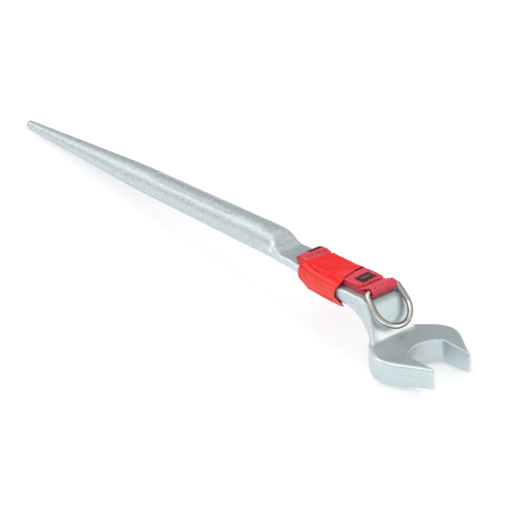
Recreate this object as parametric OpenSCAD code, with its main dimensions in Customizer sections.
// Offset-head spud wrench (open-end erection wrench with a tapered drift-pin handle),
// fitted with a webbing tool tether: a folded webbing strap under a heat-shrink
// sleeve, ending in a loop that carries a D-ring.
// Frame: +X out of the jaw, +Y left, +Z up, origin at the centre of the seated nut,
// halfway through the head's thickness. Millimetres.

/* [Jaw and head] */
// Jaw opening, across the flats of the nut
jaw_opening = 27; // [24:0.5:30]
// Depth of the rounded throat behind the ends of the jaw flats
throat_sag = 5.7; // [4.5:0.1:7]
// Distance from the nut's centre to the end of the jaw flats
throat_back = 10.4; // [9.5:0.1:12]
// Reach of the jaw tips beyond the nut's centre
jaw_reach = 10.9; // [9:0.1:13]
// Thickness of the head at the throat
head_t = 14.8; // [12:0.2:17]
// Thickness of the head at the jaw tips
tip_t = 12.9; // [10:0.1:14.5]
// Widest half-width of the head
head_half = 29.1; // [27:0.1:32]

/* [Neck and crank] */
// Height of the handle's axis above the middle of the head
rise = 29.6; // [26:0.2:33]
// Drop from the handle's axis to the flat top of the neck
neck_drop = 0.5; // [0:0.1:1.5]
// Thickness of the neck behind the tether
neck_t = 7.0; // [6:0.1:9]
// Thickness of the neck in front of the tether
neck_front_t = 8.7; // [8:0.1:10]
// Slope of the crank between neck and head, degrees
crank_angle = 60; // [50:1:68]
// Outside bend radius at the top of the crank
crank_r = 10; // [7:0.5:14]
// Bend radius underneath the crank
under_r = 24; // [18:0.5:28]

/* [Handle] */
// Overall distance from the nut's centre to the point of the spud
handle_reach = 395; // [360:1:430]
// Length of the steeper taper at the point
spud_taper_l = 121; // [90:1:150]
// Radius at the point
tip_r = 2.8; // [2:0.1:4]
// Radius at the end of the steeper taper
knee_r = 8.4; // [7:0.1:9]
// Radius at the shoulder
shank_r = 9.9; // [9:0.1:11]
// Start of the shoulder scoop, distance behind the nut's centre
shoulder_x = 138; // [132:1:146]
// Length of the plain recessed panel on top of the shank
panel_l = 82; // [60:1:90]
// Depth of the panel
panel_d = 0.45; // [0.2:0.05:0.8]

/* [Tether] */
// Width of the webbing
web_w = 19; // [16:0.5:20]
// Thickness of one layer of webbing
web_t = 1.45; // [1.2:0.05:1.6]
// Length of the sleeve
sleeve_l = 29.5; // [26:0.5:31]
// Distance from the nut's centre to the sleeve's front edge
sleeve_front = 71.4; // [70:0.1:73]
// Wall of the sleeve
sleeve_t = 1.0; // [0.8:0.05:1.2]
// Thickness of the hot-melt lining inside the sleeve
lining_t = 0.4; // [0.2:0.05:0.5]

/* [D-ring] */
// Wire diameter of the D-ring
wire_d = 3.5; // [3:0.1:4]
// Clear width inside the D-ring
ring_in_w = 21.5; // [21:0.1:23]
// Distance from the bar's axis to the outside of the bow
ring_reach = 25.9; // [23:0.1:28]
// Centreline radius of the two corners by the bar
corner_r = 2.6; // [2.4:0.1:3]
// How far below level the ring hangs at rest, degrees
ring_droop = 46; // [40:1:50]
// Sideways place of the ring in the webbing eye
ring_shift = -0.4; // [-0.4:0.1:0.4]
// Running clearance between the bar and the webbing eye
eye_gap = 0.06; // [0.02:0.01:0.1]

/* [Hidden] */
$fn = 64;
part_gap = 0.05;                        // clearance between neighbouring pieces

// ---- Shared helpers ----

// Catmull-Rom value between b and c, with neighbours a and d, at t from 0 to 1
function catmull_rom(a, b, c, d, t) =
    0.5*((2*b) + (c - a)*t + (2*a - 5*b + 4*c - d)*t*t + (3*b - a - 3*c + d)*t*t*t);

// Smooth curve through the points, without the last one
function curve(points, steps) = [for (i = [0:len(points)-2]) for (k = [0:steps-1])
    catmull_rom(points[max(i-1, 0)], points[i], points[i+1],
                points[min(i+2, len(points)-1)], k/steps)];

function arc(centre, radius, start, end, steps) = [for (i = [0:steps])
    let (angle = start + (end - start)*i/steps)
    [centre[0] + radius*cos(angle), centre[1] + radius*sin(angle)]];

// Points mirrored to the -Y side, in reverse order
function mirrored(points) = [for (i = [len(points)-1:-1:0]) [points[i][0], -points[i][1]]];

// Side profile [x, z] extruded across Y
module side_slab(profile, width)
    rotate([90, 0, 0]) linear_extrude(width, center = true) polygon(profile);

// Plan [x, y] extruded up from below the head
module plan_slab(height) translate([0, 0, -20]) linear_extrude(height) children();

// Stands a [y, z] section up at the given x, facing +X
module along_x(x) translate([x, 0, 0]) rotate([90, 0, 90]) children();

// Cylinder along Y, centred on y = 0
module cross_cylinder(x, z, radius, length)
    translate([x, 0, z]) rotate([90, 0, 0]) cylinder(r = radius, h = length, center = true);

// ---- Wrench forging ----

neck_z = rise - neck_drop;              // flat top of the neck

// Neck and crank in plan: [x, half-width], right side (-Y) and left side (+Y)
neck_right = [[-134, 9.4], [-126, 9.5], [-117, 10.1], [-103, 12.1], [-66, 14.35], [-50, 14.5],
    [-44, 14.6], [-41, 15.3], [-38, 16.8], [-35, 18.8], [-32, 21], [-24, 23]];
neck_left = [[-134, 9.4], [-126, 9.5], [-117, 10.1], [-103, 11.8], [-66, 13.5], [-50, 13.7],
    [-41, 13.3], [-34, 12.8], [-24, 12.8]];

// Head in plan: [x, half-width] from the crank forward, then the jaw tip shared by both sides
head_right = [[-39.7, 14.2], [-39.2, 16.9], [-37.2, 19.5], [-33.8, 22.4], [-27.8, 26.4],
    [-21.4, head_half - 0.3], [-15.4, head_half], [-10.4, head_half - 1.6],
    [-4.4, 24.0], [1.6, 20.0]];
head_left = [[-37.8, 12.6], [-37.2, 14.6], [-35.2, 17.2], [-31.8, 20.9], [-26.8, 25.6],
    [-21.0, head_half - 0.7], [-15.4, head_half - 0.3], [-10.0, head_half - 2.0],
    [-4.4, 23.8], [1.6, 20.0]];
jaw_tip = [[7.4, 16.5], [jaw_reach - 0.9, 15.3], [jaw_reach - 0.1, 14.5],
    [jaw_reach, jaw_opening/2 - 0.6]];
function head_edge(stations) =
    concat([[-31, 0.1]], curve(concat(stations, [jaw_tip[0]]), 4), jaw_tip);

// Throat arc through the ends of the jaw flats
throat_r = (pow(jaw_opening/2, 2) + pow(throat_sag, 2))/(2*throat_sag);
throat_x = -throat_back - throat_sag + throat_r;

// Top of the crank: convex bend, slope, then the crease where it meets the head
top_bend_x = -50.4;
top_end = [top_bend_x + crank_r*sin(crank_angle), neck_z - crank_r*(1 - cos(crank_angle))];
crease_r = 3;
crease_x = top_end[0] + (top_end[1] - head_t/2)/tan(crank_angle);
crease_c = [crease_x + crease_r*tan(crank_angle/2), head_t/2 + crease_r];

// Underside of the crank: bend, slope, then the rounded heel of the head
under_x = -64.4;
under_z = neck_z - neck_front_t;
under_end = [under_x + under_r*sin(crank_angle), under_z - under_r*(1 - cos(crank_angle))];
heel_r = 9;
heel_x = under_end[0] + (under_end[1] + head_t/2)/tan(crank_angle);
heel_c = [heel_x + heel_r*tan(crank_angle/2), -head_t/2 + heel_r];

thin_neck_x = -104;                     // the neck thickens forward from here to under_x

// Side profiles, [x, z]
neck_side = concat(
    [[-133, neck_z]],
    arc([top_bend_x, neck_z - crank_r], crank_r, 90, 90 - crank_angle, 10),
    arc(crease_c, crease_r, 270 - crank_angle, 270, 5),
    [[-25, head_t/2], [-25, -head_t/2]],
    arc(heel_c, heel_r, 270, 270 - crank_angle, 8),
    arc([under_x, under_z - under_r], under_r, 90 - crank_angle, 90, 12),
    [[thin_neck_x, neck_z - neck_t], [-133, neck_z - neck_t + 0.2]]);
head_side = [[-50, head_t/2], [-14, head_t/2], [jaw_reach + 3, tip_t/2 - 0.1],
    [jaw_reach + 3, -tip_t/2 + 0.1], [-14, -head_t/2], [-50, -head_t/2]];
neck_root_side = [[-134, neck_z], [-134, neck_z - neck_t + 0.2],
    [-126, neck_z - neck_t + 0.15], [-126, neck_z]];
neck_root_w = 18.9;

// Region above the shoulder scoop, where the round shank is cut down to the neck
scoop_top_r = 7;
scoop_foot_r = 7.5;
scoop_side = concat(
    arc([-shoulder_x, rise + shank_r - scoop_top_r + 0.3], scoop_top_r, 90, 45, 6),
    arc([-shoulder_x + 14.6, neck_z + scoop_foot_r], scoop_foot_r, 225, 270, 6),
    [[-90, neck_z], [-90, rise + 20], [-shoulder_x, rise + 20]]);

// Shank and spud, turned: [radius, x]
shank_profile = [[0, -handle_reach], [tip_r - 1.3, -handle_reach],
    [tip_r - 0.4, -handle_reach + 0.5], [tip_r, -handle_reach + 1.7],
    [knee_r, -handle_reach + spud_taper_l], [shank_r, -shoulder_x + 4],
    [shank_r, -118], [6, -112], [0, -112]];

panel_x = -254;                         // rear end of the panel
panel_w = 7.2;
panel_inset = 4;                        // from each end to the centre of its round
panel_top = 8.6;                        // shank surface above the axis at panel_x
panel_slope = 0.6;                      // the floor climbs forward with the shank, degrees

module shank()
    translate([0, 0, rise]) rotate([0, 90, 0])
        rotate_extrude($fn = 96) polygon(shank_profile);

module neck_and_head() {
    intersection() {
        side_slab(neck_side, 80);
        plan_slab(70) polygon(concat(neck_left, mirrored(neck_right)));
    }
    intersection() {
        side_slab(head_side, 80);
        plan_slab(70) polygon(concat(head_edge(head_left), mirrored(head_edge(head_right))));
    }
}

module throat() {
    flat_end = -throat_back - 0.01;
    plan_slab(40) union() {
        polygon([[flat_end, -jaw_opening/2], [jaw_reach + 5, -jaw_opening/2],
                 [jaw_reach + 5, jaw_opening/2], [flat_end, jaw_opening/2]]);
        intersection() {
            translate([throat_x, 0]) circle(r = throat_r, $fn = 128);
            translate([-throat_back - 20, -jaw_opening/2]) square([20, jaw_opening]);
        }
    }
}

module panel_recess()
    translate([panel_x, 0, rise + panel_top - panel_d]) rotate([0, -panel_slope, 0])
        linear_extrude(6) union() {
            translate([panel_inset, -panel_w/2]) square([panel_l - 2*panel_inset, panel_w]);
            for (x = [panel_inset, panel_l - panel_inset])
                translate([x, 0]) circle(d = panel_w, $fn = 48);
        }

// One-piece forging: jaws, head, crank, neck, shoulder, shank and tapered spud
module wrench_forging() color("silver") difference() {
    union() {
        difference() {
            union() {
                shank();
                side_slab(neck_root_side, neck_root_w);
            }
            side_slab(scoop_side, 40);
        }
        neck_and_head();
    }
    throat();
    panel_recess();
}

// ---- Strap levels and eye ----

strap_lo = neck_z + part_gap;           // underside of the strap
strap_hi = strap_lo + 2*web_t;          // top of two layers
pad_hi = strap_lo + 3*web_t;            // top of three layers
eye_in_r = wire_d/2 + eye_gap;          // bore of the webbing eye
eye_out_r = eye_in_r + web_t;
bar_x = -46.4;                          // axis of the D-ring's bar
bar_z = strap_lo + eye_out_r - 0.35;

// ---- Sleeve and lining ----

sleeve_x0 = -(sleeve_front + sleeve_l); // rear edge
sleeve_x1 = -sleeve_front;              // front edge
lining_inset = 0.8;                     // the lining stops short of both sleeve edges

// Surfaces of lining and sleeve, as growth outward from the neck and strap
lining_in = 0.1;
lining_out = lining_in + lining_t;
sleeve_in = lining_out + part_gap;
sleeve_out = sleeve_in + sleeve_t;

// Pinched fin on the sleeve, [y, z]
fin_section = [[-12.4, neck_z - 8.4], [-14.2, neck_z - 8.2],
    [-14, neck_z - 10.8], [-13, neck_z - 11]];

function neck_bottom(x) = neck_z - neck_t
    - (x - thin_neck_x)*(neck_front_t - neck_t)/(under_x - thin_neck_x);

// Outline [y, z] of the neck with the strap lying on it, at x, grown by growth
function wrap_section(x, growth) =
    let (right = lookup(x, neck_right) + growth,
         left = lookup(x, neck_left) + growth,
         bottom = neck_bottom(x) - growth,
         strap_half = web_w/2 + 0.7*growth)
    [[-right, bottom], [-right, neck_z + 0.5*growth], [-strap_half, strap_hi + growth],
     [strap_half, strap_hi + growth], [left, neck_z + 0.5*growth], [left, bottom]];

// Solid wrap between two stations, hulled from a thin slice at each end
module wrapped(x0, x1, growth) {
    slice = 0.01;
    hull() {
        along_x(x0) linear_extrude(slice) polygon(wrap_section(x0, growth));
        along_x(x1 - slice) linear_extrude(slice) polygon(wrap_section(x1, growth));
    }
}

// Heat-shrink sleeve; the fin on its lower right edge runs on past the front edge
module heat_shrink_sleeve() color("red") difference() {
    union() {
        wrapped(sleeve_x0, sleeve_x1, sleeve_out);
        along_x(sleeve_x0 + 1) linear_extrude(sleeve_l + 2.5) polygon(fin_section);
    }
    wrapped(sleeve_x0 - 1, -66, sleeve_in);
}

// Hot-melt lining that grips neck and strap inside the sleeve
module sleeve_adhesive_lining() color("dimgray") difference() {
    wrapped(sleeve_x0 + lining_inset, sleeve_x1 - lining_inset, lining_out);
    wrapped(sleeve_x0 - 1, sleeve_x1 + 1, lining_in);
}

// ---- Webbing ----

hinge_x = sleeve_x1 + 0.9;              // where the strap flexes at the sleeve's mouth
hinge_z = strap_lo + web_t;

// Folded end stop behind the sleeve
stop_x0 = -109.6;
stop_x1 = -101.1;
stop_hi = strap_lo + 4.6;
stop_front_r = 1.6;                     // round at the top front
stop_back_r = 2.2;                      // round at the top back
stop_foot_r = 1.4;                      // round at the bottom back

// Fixed part of the strap: [x, z], two layers under the sleeve and the end stop
tail_front = hinge_x - web_t - 0.15;
tail_side = concat(
    [[tail_front, strap_lo], [tail_front, strap_hi], [stop_x1, strap_hi]],
    arc([stop_x1 - stop_front_r, stop_hi - stop_front_r], stop_front_r, 0, 90, 6),
    arc([stop_x0 + stop_back_r, stop_hi - stop_back_r], stop_back_r, 90, 180, 6),
    arc([stop_x0 + stop_foot_r, strap_lo + stop_foot_r], stop_foot_r, 180, 270, 5));

// Free part of the strap: [x, z], round hinge end, raised pad, then down to the eye
loop_side = concat(
    [[hinge_x, strap_lo]],
    arc([hinge_x, hinge_z], web_t, 270, 90, 10),
    [[hinge_x + 3.2, strap_hi], [hinge_x + 4.2, pad_hi - 0.3], [hinge_x + 5, pad_hi],
     [-56.6, pad_hi], [-55.8, pad_hi - 0.4], [-55.2, strap_hi + 0.2], [-52.6, strap_hi + 0.3],
     [bar_x - 2.6, bar_z + eye_out_r*0.62], [bar_x, bar_z],
     [bar_x - 1, bar_z - eye_out_r*0.945], [-50.2, strap_lo]]);

module webbing_tail() color("crimson") side_slab(tail_side, web_w);

module webbing_loop() color("crimson") difference() {
    union() {
        side_slab(loop_side, web_w);
        cross_cylinder(hinge_x, hinge_z, web_t, web_w);
        cross_cylinder(bar_x, bar_z, eye_out_r, web_w);
    }
    cross_cylinder(bar_x, bar_z, eye_in_r, web_w + 2);
}

// ---- D-ring ----

ring_half = ring_in_w/2 + wire_d/2;     // centreline half-width, and radius of the bow
bow_x = ring_reach - wire_d/2 - ring_half; // bar's axis to the bow's centre

module wire(length) cylinder(d = wire_d, h = length);
module bend(radius, angle)
    rotate_extrude(angle = angle) translate([radius, 0]) circle(d = wire_d, $fn = 48);

// Straight bar in the webbing eye, two corners, two arms and a round bow
module d_ring() color("lightgray")
    translate([bar_x, ring_shift, bar_z]) rotate([0, ring_droop, 0]) {
        bar_half = ring_half - corner_r;
        translate([0, -bar_half, 0]) rotate([-90, 0, 0]) wire(2*bar_half);
        for (side = [-1, 1]) {
            translate([corner_r, side*ring_half, 0]) rotate([0, 90, 0]) wire(bow_x - corner_r);
            translate([corner_r, side*bar_half, 0])
                rotate([0, 0, side > 0 ? 90 : 180]) bend(corner_r, 90);
        }
        translate([bow_x, 0, 0]) rotate([0, 0, -90]) bend(ring_half, 180);
    }

// ---- Labels and their stitching ----

label_t = 0.35;
label_gap = 0.02;                       // under each label, and under its stitches

// Each label's frame: origin at the middle of its underside
module on_pad() translate([-60.6, 0.4, pad_hi + label_gap]) rotate([0, 0, 4]) children();
module on_end_stop() translate([stop_x0 + 4.4, 3, stop_hi + label_gap]) children();

module label(size_x, size_y)
    translate([-size_x/2, -size_y/2, 0]) cube([size_x, size_y, label_t]);

// Two rows of stitches along Y on a label, each row row_x from its middle
module stitch_rows(row_x, count, pitch, length) {
    width = 0.34;
    for (side = [-1, 1], i = [0:count-1])
        translate([side*row_x - width/2, (i - (count - 1)/2)*pitch - length/2,
                   label_t + label_gap])
            cube([width, length, 0.25]);
}

// Blank woven labels
module front_label() color("black") on_pad() label(7.2, 11.2);
module rear_label() color("black") on_end_stop() label(4.2, 9);

module front_label_stitching() color("dimgray")
    on_pad() stitch_rows(row_x = 2.9, count = 6, pitch = 1.84, length = 1.2);
module rear_label_stitching() color("dimgray")
    on_end_stop() stitch_rows(row_x = 1.6, count = 5, pitch = 1.85, length = 1.1);

// ---- Bar tacks ----

// Copies in a centred row along Y, pitched down to the front by tilt, turned alternately
module zigzag(count, pitch, angle, tilt = 0) for (i = [0:count-1])
    translate([0, (i - (count - 1)/2)*pitch, 0]) rotate([0, tilt, 0])
        rotate([0, 0, i % 2 == 0 ? angle : -angle]) children();

// Closes the eye behind the ring
module loop_bar_tack() color("firebrick") translate([-53.9, 0, strap_hi + 0.34])
    zigzag(count = 12, pitch = 1.3, angle = 52)
        translate([-0.85, -0.16, 0]) cube([1.7, 0.32, 0.22]);

// Runs through the folded end stop, in front of its label
module tail_bar_tack() color("firebrick") translate([stop_x1 - 1.25, 0, stop_hi - 0.14])
    zigzag(count = 9, pitch = 1.8, angle = 60, tilt = 12)
        translate([-0.3, -0.15, 0.14]) cube([0.8, 0.3, 0.22]);

wrench_forging();
heat_shrink_sleeve();
sleeve_adhesive_lining();
webbing_tail();
webbing_loop();
d_ring();
front_label();
rear_label();
front_label_stitching();
rear_label_stitching();
loop_bar_tack();
tail_bar_tack();
